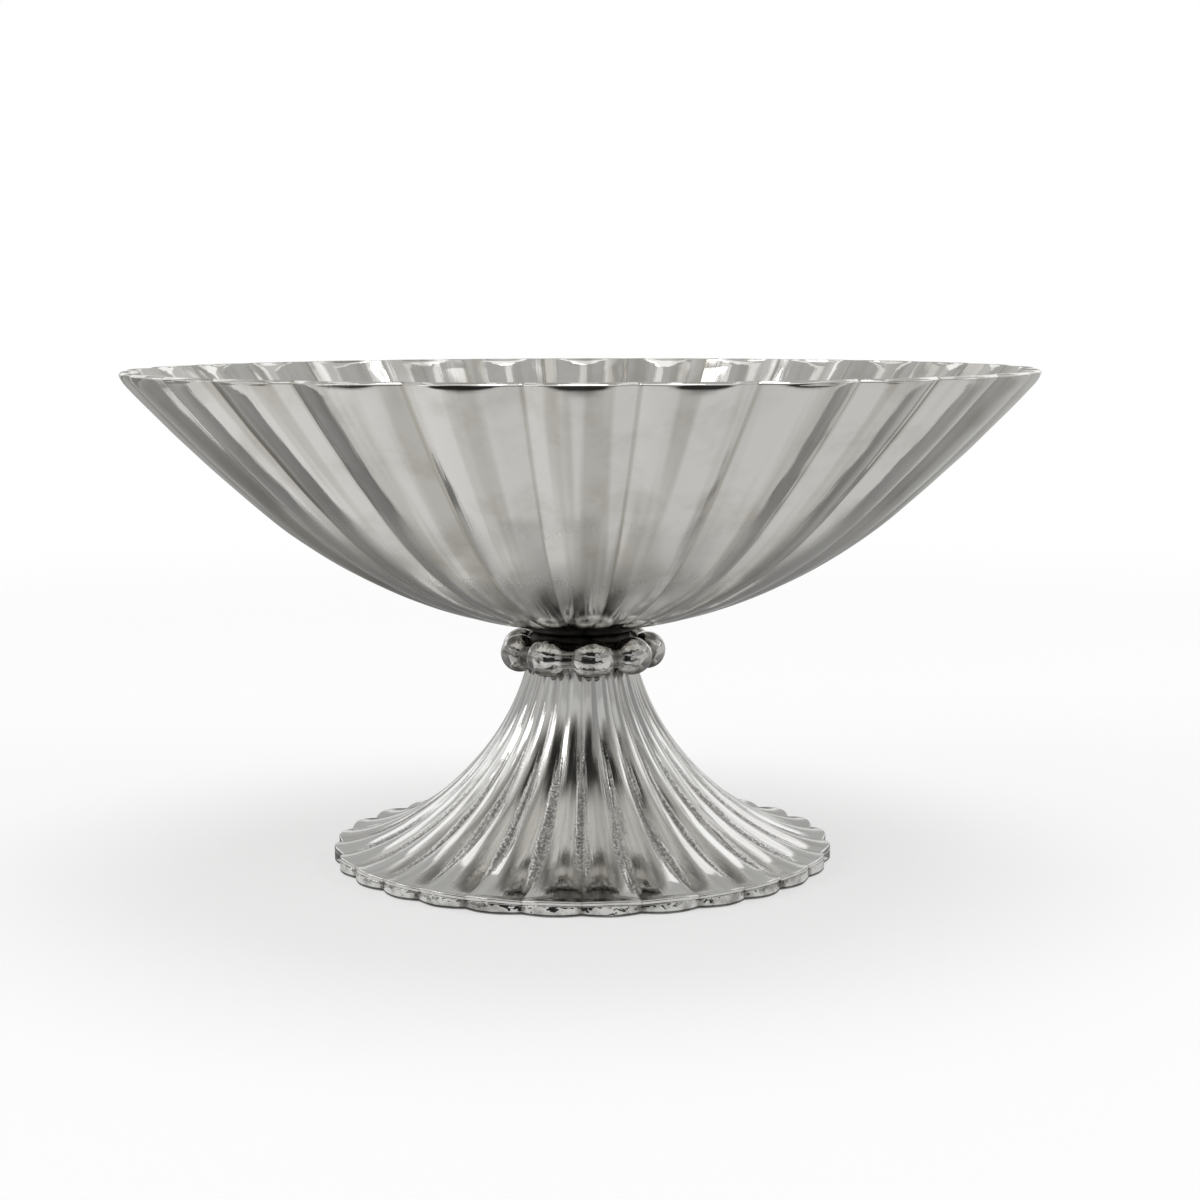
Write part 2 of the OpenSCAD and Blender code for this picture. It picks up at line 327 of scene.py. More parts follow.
# %% Bowl rows
FLAT_SHARES = np.array([0.15, 0.5, 0.9])
BELLY_ROWS = 26
UPPER_ROWS = 28
CUT_ROWS = 14
EDGE_ROWS = 13
EDGE_EASE = 0.25 * MM
EDGE_POWER = 0.5


def through_sheet(rows, thickness):
    """Rows moved square to the wall, from its outer face through the sheet."""
    radius, height, slope = rows.T
    moved = [radius - thickness * np.sin(slope), height + thickness * np.cos(slope), slope]
    return np.stack(moved, axis=-1)


def eased_edge(row, thickness, steps):
    """Rows over the sheet's square edge: a superellipse from its outer face to its inner one."""
    radius, height, slope = row
    turn_by = np.linspace(0.0, np.pi, steps)
    across = thickness / 2 * (1 - np.sign(np.cos(turn_by)) * np.abs(np.cos(turn_by)) ** EDGE_POWER)
    along = EDGE_EASE * np.sin(turn_by) ** EDGE_POWER
    edge_radius = radius - across * math.sin(slope) + along * math.cos(slope)
    edge_height = height + across * math.cos(slope) + along * math.sin(slope)
    return np.stack([edge_radius, edge_height, np.full(steps, slope)], axis=-1)


end_speed = 2 * np.linalg.norm(CROWN_END - UPPER_CORNER)
edge_share = 1.0 - EDGE_EASE / end_speed
cut_share = 1.0 - RIM_CUT_H / (end_speed * math.sin(BELLY_END))
flat_rows = np.zeros((len(FLAT_SHARES), 3))
flat_rows[:, 0] = FLAT_SHARES * BOWL_BASE_R
flat_rows[:, 1] = BOWL_Z
belly = belly_rows(np.linspace(0.0, 1.0, BELLY_ROWS, endpoint=False))
upper = upper_rows(np.concatenate([np.linspace(0.0, cut_share, UPPER_ROWS, endpoint=False),
                                   np.linspace(cut_share, edge_share, CUT_ROWS, endpoint=False)]))
last = upper_rows(np.array([edge_share]))
wall = np.concatenate([flat_rows, belly, upper, last])
edge = eased_edge(last[0], BOWL_SHEET, EDGE_ROWS)[1:-1]
bowl_rows = np.concatenate([wall, edge, through_sheet(wall, BOWL_SHEET)[::-1]])
bowl_source = np.concatenate([wall, np.repeat(last, len(edge), axis=0), wall[::-1]])
print("rows up and down the bowl:", len(bowl_rows))

# %% Bowl surface
CUT_WAVES = ((9, 0.16, 0.8), (17, 0.12, 2.6))
CUT_SPREAD = 1.5
FOLD_EASE = 0.06 * MM
ROLL_LEAN = 0.6
ROLL_POWER = 4.0


def soft_larger(first, second, ease):
    """The larger of two arrays, with the fold between them rounded over a small length."""
    return (first + second + np.sqrt((first - second) ** 2 + ease ** 2)) / 2


def wall_lengths(rows):
    """Length along a profile from its first row, in metres."""
    steps = np.linalg.norm(np.diff(rows[:, :2], axis=0), axis=1)
    return np.concatenate([[0.0], np.cumsum(steps)])


def bowl_points():
    """The bowl's grid: crown radius less the flute's hollow, or less the roll at the rim if that is more.

    The roll grows up through the cut, part evenly and part by a power, and it grows towards the creases.
    """
    angle = 2 * np.pi * (phases - 0.5) / FLUTES
    angle = (angle + hand_wander(angle))[None, :]
    crown = crown_share(phases)[None, :]
    radius, height = bowl_rows[:, 0][:, None], bowl_rows[:, 1][:, None]
    source_r, source_z = bowl_source[:, 0][:, None], bowl_source[:, 1][:, None]
    cut_h = RIM_CUT_H * slow_waves(angle, CUT_WAVES, 1.0)
    cut = np.clip(1.0 - (RIM_Z - source_z) / cut_h, 0.0, 1.0)
    rolled_in = RIM_CUT * (ROLL_LEAN * cut + (1 - ROLL_LEAN) * cut ** ROLL_POWER)
    rolled_in = rolled_in * (1 + CUT_SPREAD * (1 - crown))
    depth = BOWL_DEPTH * source_r / BOWL_R * hand_depth(angle)
    hollow = soft_larger(depth * (1 - crown), rolled_in, FOLD_EASE * np.minimum(1.0, source_r / BOWL_R))
    calm = (1 - cut) * np.clip(source_r / BOWL_BASE_R - 1.0, 0.0, 1.0)
    waves = calm * hammer_waves(angle, source_z + source_r)
    ring_r = np.minimum(radius - hollow + waves, BOWL_R)
    return round_axis(ring_r, angle, height), angle, crown, wall_lengths(bowl_source)[:, None]


points, angle, crown, length = bowl_points()
low_pole = (BOWL_Z, pole_marks(0.0))
high_pole = (BOWL_Z + BOWL_SHEET, pole_marks(float(length[-1, 0])))
bowl = ring_surface("bowl", points, surface_marks(angle, crown, length), low_pole, high_pole)
stand_for(bowl, "bowl_shell")

# %% [markdown]
# ## The foot
#
# The foot is a trumpet: a neck under the collar that flares to a wide scalloped edge. It is raised from
# sheet like the bowl, so it is hollow below, and the flutes show on both faces. A cubic curve draws the
# flare. Its rows run once round the sheet: up the edge and the flare, over the flat top to the hole for
# the stud, down that hole, and back along the hollow side, so the last row joins the first. On the neck a
# flute is a hollow in the radius. Where the flare lies flat that would hardly show from above, so there
# the creases also sink below the crowns.

# %% Foot sizes
foot_low, foot_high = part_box("foot_shell")
# Half the solid's box. No crown lies on the X axis, so the solid's own crowns reach 0.4 mm further out
FOOT_R = foot_high.x
FOOT_TOP = foot_high.z
FOOT_UNDER = foot_low.z
FOOT_SHEET = 1.2 * MM
EDGE_TOP = FOOT_UNDER + FOOT_SHEET
LAND_W = 2.0 * MM
LAND_R = FOOT_R - LAND_W
NECK_R = 14.61 * MM
HOLE_R = 3.4 * MM
EDGE_ROUND = 0.45 * MM
CORNER_EASE = 0.3 * MM
print("foot across and up in mm:", round(2 * FOOT_R / MM, 1), round(FOOT_TOP / MM, 1))

# %% Foot profile
FLARE_ROWS = 72
EDGE_STEPS = 6
UNDER_ROOM = 0.2 * MM
# How far each handle of the flare's curve reaches from its end, as shares of the width and of the height
LOW_HANDLE_SHARES = (0.39, 0.052)
HIGH_HANDLE_SHARES = (0.109, 0.525)


def flare_rows(shares):
    """Radius, height and slope along the flare: a cubic curve from the edge up to the neck."""
    wide, tall = LAND_R - NECK_R, FOOT_TOP - EDGE_TOP
    start, end = np.array([LAND_R, EDGE_TOP]), np.array([NECK_R, FOOT_TOP])
    low = start + np.array([-LOW_HANDLE_SHARES[0] * wide, LOW_HANDLE_SHARES[1] * tall])
    high = end + np.array([HIGH_HANDLE_SHARES[0] * wide, -HIGH_HANDLE_SHARES[1] * tall])
    along = shares[:, None]
    back = 1 - along
    place = back ** 3 * start + 3 * along * back ** 2 * low + 3 * along ** 2 * back * high + along ** 3 * end
    way = back ** 2 * (low - start) + 2 * along * back * (high - low) + along ** 2 * (end - high)
    return np.column_stack([place, np.arctan2(way[:, 1], -way[:, 0])])


def rounded_corner(corner, radius, start, steps):
    """Rows round a convex corner (radius, height): a quarter circle from a start direction in degrees."""
    turn_by = math.radians(start) + np.linspace(0.0, np.pi / 2, steps)
    return np.stack([corner[0] + radius * np.cos(turn_by), corner[1] + radius * np.sin(turn_by)], axis=-1)


ceiling_z = FOOT_TOP - FOOT_SHEET
flare = flare_rows(np.linspace(0.0, 1.0, FLARE_ROWS))
hollow_r = flare[:, 0] - FOOT_SHEET * np.sin(flare[:, 2])
hollow_z = flare[:, 1] - FOOT_SHEET * np.cos(flare[:, 2])
between = (hollow_z > FOOT_UNDER + UNDER_ROOM) & (hollow_z < ceiling_z)
under = np.stack([hollow_r, hollow_z], axis=-1)[between]
low_edge = [[LAND_R, FOOT_UNDER], [FOOT_R - CORNER_EASE, FOOT_UNDER], [FOOT_R, FOOT_UNDER + CORNER_EASE]]
high_edge = rounded_corner((FOOT_R - EDGE_ROUND, EDGE_TOP - EDGE_ROUND), EDGE_ROUND, 0.0, EDGE_STEPS)
top_corner = [[NECK_R, FOOT_TOP - CORNER_EASE], [NECK_R - CORNER_EASE, FOOT_TOP]]
top_hole = [[HOLE_R, FOOT_TOP], [HOLE_R, ceiling_z], [NECK_R - FOOT_SHEET, ceiling_z]]
foot_rows = np.concatenate([low_edge, high_edge, flare[:-1, :2], top_corner, top_hole, under[::-1]])
print("rows round the foot's sheet:", len(foot_rows))

# %% Foot surface
FOOT_DEPTH = 1.7 * MM
FOOT_DIP = 0.65 * MM
DIP_POWER = 0.6
FLUTE_FADE = 0.5 * NECK_R
FOOT_WANDER = 0.8
FOOT_WANDER_SHIFT = 2.0
FOOT_DEPTH_SHIFT = 1.0


def foot_columns():
    """Angle, crown share and depth against the mean of each column of the foot, and of its edge strip."""
    angle = 2 * np.pi * phases / FLUTES
    angle = (angle + FOOT_WANDER * hand_wander(angle + FOOT_WANDER_SHIFT))[None, :]
    return angle, crown_share(phases)[None, :], hand_depth(angle + FOOT_DEPTH_SHIFT)


def crease_dip(radius, crown, uneven):
    """How far the creases sink below the crowns: a power of the way from the neck to the edge."""
    share = np.clip((radius - NECK_R) / (LAND_R - NECK_R), 0.0, 1.0) ** DIP_POWER
    return FOOT_DIP * share * (1 - crown) * uneven


def foot_points():
    """The foot's grid: crown radius less the flute's hollow, which shrinks to none at the hole."""
    angle, crown, uneven = foot_columns()
    radius, height = foot_rows[:, 0][:, None], foot_rows[:, 1][:, None]
    fluted = np.clip((radius - HOLE_R) / FLUTE_FADE, 0.0, 1.0)
    depth = FOOT_DEPTH * radius / FOOT_R * uneven * fluted
    length = wall_lengths(foot_rows)[:, None]
    calm = np.clip((radius - NECK_R) / NECK_R, 0.0, 1.0) * np.clip((LAND_R - radius) / NECK_R, 0.0, 1.0)
    ring_r = radius - depth * (1 - crown) + calm * hammer_waves(angle, length)
    ring_z = height - crease_dip(radius, crown, uneven)
    return round_axis(ring_r, angle, ring_z), angle, crown, length


points, angle, crown, length = foot_points()
foot = ring_surface("foot", points, surface_marks(angle, crown, length), closed_rows=True)
stand_for(foot, "foot_shell")

# %% [markdown]
# ## The edge strip
#
# Under the foot's edge a strip follows the scallops, and the piece stands on it. It is bent, soldered
# and filed by hand, so its face is a little uneven and its lower corner is worn round. Seen from above, it
# is the same fluted ring as the foot, so it takes the foot's columns and the two stay flush. Its upper
# edge sinks at the creases as the foot's does.

# %% Edge strip surface
BAND_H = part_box("foot_edge_band")[1].z
BAND_T = 1.6 * MM
BAND_ROUND = 0.55 * MM
BAND_ROUND_STEPS = 7
BAND_EASE = 0.2 * MM
BAND_EASE_STEPS = 3
FILED_OFF = 0.09 * MM
FILE_WAVES = ((37, 0.05 * MM, 0.6), (71, 0.04 * MM, 2.2))


def band_rows():
    """Rows round the strip's section: a rectangle with rounded corners, from its outer foot upwards."""
    out_r, in_r = FOOT_R, FOOT_R - BAND_T
    worn = rounded_corner((out_r - BAND_ROUND, BAND_ROUND), BAND_ROUND, -90.0, BAND_ROUND_STEPS)
    eased = (((out_r - BAND_EASE, BAND_H - BAND_EASE), 0.0),
             ((in_r + BAND_EASE, BAND_H - BAND_EASE), 90.0),
             ((in_r + BAND_EASE, BAND_EASE), 180.0))
    corners = [rounded_corner(corner, BAND_EASE, start, BAND_EASE_STEPS) for corner, start in eased]
    return np.concatenate([worn] + corners)


def band_points():
    """The strip's grid: the foot's edge ring at each row, less what the file took, more of it lower down."""
    angle, crown, uneven = foot_columns()
    rows = band_rows()
    radius, height = rows[:, 0][:, None], rows[:, 1][:, None]
    filed = (1.0 - height / BAND_H) * slow_waves(angle, FILE_WAVES, FILED_OFF)
    ring_r = radius - FOOT_DEPTH * uneven * (1 - crown) - filed
    ring_z = height * (1 - crease_dip(LAND_R, crown, uneven) / BAND_H)
    return round_axis(ring_r, angle, ring_z), angle, crown, height


points, angle, crown, length = band_points()
band = ring_surface("edge_strip", points, surface_marks(angle, crown, length), closed_rows=True)
stand_for(band, "foot_edge_band")

# %% [markdown]
# ## The beaded collar
#
# The collar is cast: nine round beads with a waist between each two. Nine spheres and a ring could be
# joined, but one tube whose radius swells and shrinks as it goes round its circle has no seams. Inside,
# the casting is bored, so points that would reach into the bore are held at its wall.

# %% Collar surface
collar_low, collar_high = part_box("bead_ring")
BEADS = 9
BEAD_R = (collar_high.z - collar_low.z) / 2
COLLAR_Z = (collar_high.z + collar_low.z) / 2
BEAD_CIRCLE_R = 17.5 * MM
BEAD_COLUMNS = 40
COLLAR_STEPS = 56
WAIST_R = 2.7 * MM
WAIST_EASE = 0.25 * MM
WAIST_LIFT = 0.003 * MM
FIRST_BEAD = math.radians(9.0)
COLLAR_BORE_R = 13.01 * MM
SEAT_RISE = 2.2 * MM
LOWER_ROOM_R = NECK_R + 0.9 * MM
UPPER_ROOM_R = NECK_R + 0.2 * MM


def collar_points():
    """The collar's grid: a tube round a circle, as thick as the bead's arc, or as the waist if that is more.

    Rounding the fold between the two lifts the bead a trifle, which is taken off again.
    """
    angle = np.linspace(0.0, 2 * np.pi, BEADS * BEAD_COLUMNS, endpoint=False)[None, :]
    around = -np.pi / 2 + np.linspace(0.0, 2 * np.pi, COLLAR_STEPS, endpoint=False)[:, None]
    spacing = 2 * np.pi / BEADS
    from_bead = (angle - FIRST_BEAD + spacing / 2) % spacing - spacing / 2
    half_length = BEAD_CIRCLE_R * math.tan(spacing / 2)
    arc_r = (half_length ** 2 + BEAD_R ** 2) / (2 * BEAD_R)
    along = BEAD_CIRCLE_R * np.tan(from_bead)
    bead = np.sqrt(np.maximum(arc_r ** 2 - along ** 2, 0.0)) - (arc_r - BEAD_R)
    tube = np.minimum(soft_larger(bead, np.full_like(bead, WAIST_R), WAIST_EASE) - WAIST_LIFT, BEAD_R)
    height = COLLAR_Z + tube * np.sin(around)
    bore = np.where(height < COLLAR_Z - SEAT_RISE, LOWER_ROOM_R, COLLAR_BORE_R)
    bore = np.where(height > COLLAR_Z + SEAT_RISE, UPPER_ROOM_R, bore)
    radius = np.maximum(BEAD_CIRCLE_R + tube * np.cos(around), bore)
    crown = (tube - WAIST_R) / (BEAD_R - WAIST_R)
    return round_axis(radius, angle, height), angle, crown, BEAD_R * around


points, angle, crown, length = collar_points()
collar = ring_surface("beaded_collar", points, surface_marks(angle, crown, length), closed_rows=True)
stand_for(collar, "bead_ring")

# %% [markdown]
# ## Stud and nut
#
# A threaded stud runs down from the boss under the bowl, through collar and foot, and a nut under the
# foot draws the three together. They are seen only from below. The thread is one surface: its radius
# rises and falls with height, and the pattern shifts by one pitch in a full turn. The nut is a hexagon
# whose corners are turned off by a cone, so each point takes the smaller of the two radii.

# %% Stud surface
stud_low, stud_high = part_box("threaded_stud")
STUD_R = stud_high.x
STUD_COLUMNS = 48
STUD_CHAMFER = 0.7 * MM
THREAD_PITCH = 1.0 * MM
THREAD_DEPTH = 0.5 * MM
THREAD_ROWS = 12
RIDGE_GAIN = 1.3
RIDGE_CUT = 0.1


def stud_points():
    """The stud's grid: a triangle wave up the height, turned by the angle, inside chamfered ends.

    The wave is stretched and then cut at 0 and 1, which flattens the thread's roots and crests.
    """
    angle = np.linspace(0.0, 2 * np.pi, STUD_COLUMNS, endpoint=False)[None, :]
    rows = int((stud_high.z - stud_low.z) / THREAD_PITCH * THREAD_ROWS)
    height = np.linspace(stud_low.z, stud_high.z, rows)[:, None]
    turns = height / THREAD_PITCH - angle / (2 * np.pi)
    ridge = np.clip(RIDGE_GAIN * (1 - np.abs(2 * (turns % 1.0) - 1)) - RIDGE_CUT, 0.0, 1.0)
    from_end = np.minimum(height - stud_low.z, stud_high.z - height)
    chamfered = np.minimum(STUD_R, STUD_R - STUD_CHAMFER + from_end)
    radius = np.minimum(STUD_R - THREAD_DEPTH * (1 - ridge), chamfered)
    return round_axis(radius, angle, height), angle, height


points, angle, height = stud_points()
marks = surface_marks(angle, np.ones_like(angle), height)
stud = ring_surface("stud", points, marks, (stud_low.z, pole_marks(0.0)), (stud_high.z, pole_marks(0.0)))
stand_for(stud, "threaded_stud")

# %% Nut surface
nut_low, nut_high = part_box("hex_nut")
NUT_COLUMNS = 96
NUT_FLAT = 5.0 * MM
NUT_BORE_R = 3.1 * MM
NUT_TILT = math.radians(30.0)
NUT_SHARP = math.radians(35.0)
NUT_FACE_SHARE = 0.96
NUT_ROW_SPANS = ((0.0, 0.16, 6), (0.2, 0.8, 4), (0.84, 1.0, 6))
NUT_ROW_SHARES = np.concatenate([np.linspace(low, high, rows) for low, high, rows in NUT_ROW_SPANS])


def nut_points():
    """The nut's grid: a hexagon's radius, cut by a 30 degree cone at both ends, then the bore."""
    angle = np.linspace(0.0, 2 * np.pi, NUT_COLUMNS, endpoint=False)[None, :]
    sixth = np.pi / 3
    hexagon = NUT_FLAT / np.cos((angle + sixth / 2) % sixth - sixth / 2)
    tall = nut_high.z - nut_low.z
    rise = NUT_ROW_SHARES * tall
    from_end = np.minimum(rise, tall - rise)[:, None]
    cone = NUT_FLAT * NUT_FACE_SHARE + from_end / math.tan(NUT_TILT)
    radius = np.concatenate([np.minimum(hexagon, cone), np.full((2, NUT_COLUMNS), NUT_BORE_R)])
    height = np.concatenate([nut_low.z + rise, [nut_high.z, nut_low.z]])[:, None]
    return round_axis(radius, angle, height), angle, height


points, angle, height = nut_points()
nut = ring_surface("nut", points, surface_marks(angle, np.ones_like(angle), height), closed_rows=True)
nut.data.set_sharp_from_angle(angle=NUT_SHARP)
stand_for(nut, "hex_nut")

# %% [markdown]
# ## Shader nodes in short calls
#
# A finish is a tree of nodes. Placing each one by hand takes several lines, so a small class gives the
# few kinds that we need a short call each: sums, products, smooth steps, noise, blends and bumps.

# %% Helper: shader nodes


class Shader:
    """A material's node tree, with one short call per node."""

    def __init__(self, name):
        self.material = bpy.data.materials.new(name)
        self.material.use_nodes = True
        self.tree = self.material.node_tree

    def node(self, kind, settings=None, **inputs):
        """Adds a node. Inputs are sockets to link or values to set, by name with _ for a space."""
        made = self.tree.nodes.new(kind)
        for key, value in (settings or {}).items():
            setattr(made, key, value)
        for key, value in inputs.items():
            self.put(made, key.replace("_", " "), value)
        return made

    def put(self, made, key, value):
        """Links a socket to an input, or sets the input's own value."""
        socket = made.inputs[int(key)] if key.isdigit() else made.inputs[key]
        if isinstance(value, bpy.types.NodeSocket):
            self.tree.links.new(value, socket)
        else:
            socket.default_value = value

    def place(self):
        """The Object coordinates."""
        return self.node("ShaderNodeTexCoord").outputs["Object"]

    def math(self, operation, first, second):
        """One arithmetic step between two numbers or sockets."""
        made = self.node("ShaderNodeMath", {"operation": operation})
        self.put(made, "0", first)
        self.put(made, "1", second)
        return made.outputs[0]

    def add(self, *values):
        """The sum of numbers or sockets."""
        return functools.reduce(lambda first, second: self.math("ADD", first, second), values)

    def times(self, *values):
        """The product of numbers or sockets."""
        return functools.reduce(lambda first, second: self.math("MULTIPLY", first, second), values)

    def span(self, value, low, high, to_low=0.0, to_high=1.0):
        """A smooth step from to_low at 'low' to to_high at 'high', level beyond both."""
        made = self.node("ShaderNodeMapRange", {"interpolation_type": "SMOOTHSTEP"}, Value=value,
                         From_Min=low, From_Max=high, To_Min=to_low, To_Max=to_high)
        return made.outputs["Result"]

    def noise(self, vector, scale, detail, roughness):
        """A noise value at a vector."""
        made = self.node("ShaderNodeTexNoise", Vector=vector, Scale=scale, Detail=detail,
                         Roughness=roughness)
        return made.outputs["Fac"]

    def distance(self, vector):
        """How long a vector is."""
        return self.node("ShaderNodeVectorMath", {"operation": "LENGTH"}, Vector=vector).outputs["Value"]

    def stretch(self, vector, scale):
        """A vector scaled along its axes."""
        return self.node("ShaderNodeMapping", Vector=vector, Scale=scale).outputs["Vector"]

    def blend(self, factor, first, second):
        """A colour between two colours."""
        made = self.node("ShaderNodeMix", {"data_type": "RGBA"})
        self.put(made, "0", factor)
        self.put(made, "6", first)
        self.put(made, "7", second)
        return made.outputs[2]

    def attribute(self, name):
        """A mark on the piece as a vector, and its x, y and z."""
        made = self.node("ShaderNodeAttribute", {"attribute_name": name})
        split = self.node("ShaderNodeSeparateXYZ", Vector=made.outputs["Vector"])
        return made.outputs["Vector"], split.outputs

    def bump(self, height, strength, distance, under=None):
        """A normal bent by a height."""
        made = self.node("ShaderNodeBump", Height=height, Strength=strength, Distance=distance)
        if under is not None:
            self.put(made, "Normal", under)
        return made.outputs["Normal"]

    def metal(self, colour, rough, normal):
        """The material as a metal with this colour, roughness and normal."""
        surface = self.tree.nodes["Principled BSDF"]
        surface.inputs["Metallic"].default_value = 1.0
        self.put(surface, "Base Color", colour)
        self.put(surface, "Roughness", rough)
        self.put(surface, "Normal", normal)
        return self.material


def rgba(red, green, blue):
    """A colour with full alpha."""
    return (red, green, blue, 1.0)


# %% [markdown]
# ## Silver on bowl and foot
#
# Polished silver is a metal with a high, slightly warm reflectance. Three things keep it from looking
# like a computer's mirror. Polishing leaves fine lines along the flutes, so a noise that is stretched
# along the wall drives roughness and a faint bump. Handling leaves cloudy patches of thin tarnish. And
# polish does not reach into the creases, so they are duller and darker.
#
# The bowl has two marks more. Its wall is painted dark next to the neck: painted shade of the recess above
# the collar. A band of the belly is duller from handling. The foot has grained strips beside its creases:
# fine pits, in ragged patches that run along the flutes.

# %% Silver of a fluted piece
POLISH = 0.045
STREAK_ROUGH = 0.04
DULL_ROUGH = 0.08
STREAK_SCALE = 700.0
STREAK_BUMP = 0.10
STREAK_HEIGHT = 0.4 * MM
BROAD_SCALE = 160.0
CLOUD_SCALE = 55.0
CLOUD_SHARE = 0.6
CREASE_WIDTH = 0.09
CREASE_DULL = 0.55


class FlutedSilver(Shader):
    """Silver on a fluted piece: streaks along the wall, cloudy tarnish and dull creases.

    Tarnish is a sum of smooth steps of noise and crown share, held at 1, and it also adds roughness.
    """

    def __init__(self, name, bright, tarnish, wear):
        super().__init__(name)
        self.lay, _ = self.attribute("lay")
        _, flute = self.attribute("flute")
        self.crown, self.length = flute[0], flute[1]
        self.broad = self.noise(self.lay, BROAD_SCALE, 2.0, 0.5)
        streaks = self.noise(self.lay, STREAK_SCALE, 4.0, 0.6)
        cloud = self.noise(self.place(), CLOUD_SCALE, 4.0, 0.6)
        crease = self.span(self.crown, 0.0, CREASE_WIDTH, CREASE_DULL, 0.0)
        clouded = self.span(cloud, 0.45, 0.7, 0.0, CLOUD_SHARE * wear)
        streaked = self.span(self.broad, 0.44, 0.62, 0.0, wear)
        dull = self.math("MINIMUM", self.add(crease, clouded, streaked), 1.0)
        polished = self.span(streaks, 0.3, 0.75, POLISH, POLISH + STREAK_ROUGH)
        self.colour = self.blend(dull, bright, tarnish)
        self.rough = self.add(polished, self.times(dull, DULL_ROUGH))
        self.normal = self.bump(streaks, STREAK_BUMP, STREAK_HEIGHT)


# %% Silver of the bowl
BOWL_BRIGHT, BOWL_TARNISH = rgba(0.88, 0.87, 0.845), rgba(0.57, 0.545, 0.495)
BOWL_WEAR = 0.6
# Painted shade: the wall's colour is darkened towards the neck, for the shade of the recess above the collar
NECK_SHADE_PAINT = rgba(0.16, 0.15, 0.135)
NECK_SHADE_SHARE = 0.8
NECK_SHADE_SPAN = (7.5 * MM, 15.0 * MM)
WORN_ROUGH = 0.24
WORN_FROM = (42.0 * MM, 78.0 * MM)
WORN_TO = (87.0 * MM, 105.0 * MM)


def bowl_silver():
    """Fluted silver with painted shade at short wall lengths, and rougher along a band between two lengths.
    """
    silver = FlutedSilver("bowl_silver", BOWL_BRIGHT, BOWL_TARNISH, BOWL_WEAR)
    # Painted shade next to the neck: darker at short wall lengths
    shade = silver.span(silver.length, *NECK_SHADE_SPAN, NECK_SHADE_SHARE, 0.0)
    colour = silver.blend(shade, silver.colour, NECK_SHADE_PAINT)
    worn_from = silver.span(silver.length, *WORN_FROM, 0.0, WORN_ROUGH)
    worn_to = silver.span(silver.length, *WORN_TO, 1.0, 0.0)
    rough = silver.add(silver.rough, silver.times(worn_from, worn_to))
    return silver.metal(colour, rough, silver.normal)


bowl.data.materials.append(bowl_silver())
print("bowl finish:", bowl.data.materials[0].name)

# %% Silver of the foot
FOOT_BRIGHT, FOOT_TARNISH = rgba(0.90, 0.895, 0.88), rgba(0.58, 0.56, 0.53)
FOOT_WEAR = 0.3
SPECKLE_SCALE = 1250.0
PATCH_SCALE = 170.0
PATCH_STRETCH = (1.0, 1.0, 6.0)
STRIP_SPAN = (1.42, 1.06)
GRAIN_FROM = (5.0 * MM, 14.0 * MM)
GRAIN_TO = (62.0 * MM, 36.0 * MM)
GRAIN_NARROW = (8.0 * MM, 30.0 * MM)
GRAIN_HEIGHT = 1.0 * MM
GRAIN_ROUGH = 0.06
PIT_DARK = rgba(0.13, 0.125, 0.115)
PIT_SHARE = 0.5


def foot_silver():
    """Fluted silver with grained strips: where crown share plus noise is low, between two wall lengths.

    The strips are narrower near the edge, and come and go in patches. Pits are the low places of a speckle.
    """
    silver = FlutedSilver("foot_silver", FOOT_BRIGHT, FOOT_TARNISH, FOOT_WEAR)
    speckle = silver.noise(silver.place(), SPECKLE_SCALE, 3.0, 0.65)
    patches = silver.noise(silver.stretch(silver.lay, PATCH_STRETCH), PATCH_SCALE, 2.0, 0.5)
    narrow = silver.span(silver.length, *GRAIN_NARROW, 0.3, 0.0)
    uneven = ((silver.broad, 0.5), (speckle, 0.4), (patches, 0.8))
    ragged = silver.add(*[silver.times(noise, weight) for noise, weight in uneven])
    strip = silver.span(silver.add(silver.crown, ragged, narrow), *STRIP_SPAN)
    upright = silver.times(silver.span(silver.length, *GRAIN_FROM), silver.span(silver.length, *GRAIN_TO))
    mask = silver.times(strip, upright, silver.span(patches, 0.66, 0.42, 0.25, 1.0))
    pits = silver.times(mask, silver.span(speckle, 0.56, 0.44), PIT_SHARE)
    colour = silver.blend(pits, silver.colour, PIT_DARK)
    normal = silver.bump(silver.times(speckle, mask), 1.0, GRAIN_HEIGHT, silver.normal)
    rough = silver.add(silver.rough, silver.times(mask, GRAIN_ROUGH))
    return silver.metal(colour, rough, normal)


foot.data.materials.append(foot_silver())
print("foot finish:", foot.data.materials[0].name)

# %% [markdown]
# ## Silver on collar and strip
#
# The collar and the strip are small and get knocked. Shallow dents break up their reflections, their
# heights are rubbed bright, and their hollows keep dark stains. Each also has painted shade on its
# underside, the collar where it meets the foot and the strip where it meets the table.

# %% Silver of collar and strip
STAIN_SCALE = 200.0
STAIN_ROUGH = 0.16
HOLLOW_REACH = 0.35
HOLLOW_DULL = 0.75
DENT_BUMP = 0.5
# The dark colour of each pair serves stains and hollows, and also painted shade on each underside
COLLAR_BRIGHT, COLLAR_STAIN_AND_SHADE = rgba(0.88, 0.87, 0.85), rgba(0.20, 0.19, 0.175)
COLLAR_SHADE = (51.8 * MM, 53.6 * MM)
BAND_BRIGHT, BAND_STAIN_AND_SHADE = rgba(0.89, 0.885, 0.87), rgba(0.24, 0.23, 0.215)
BAND_SHADE = (0.2 * MM, 1.0 * MM)


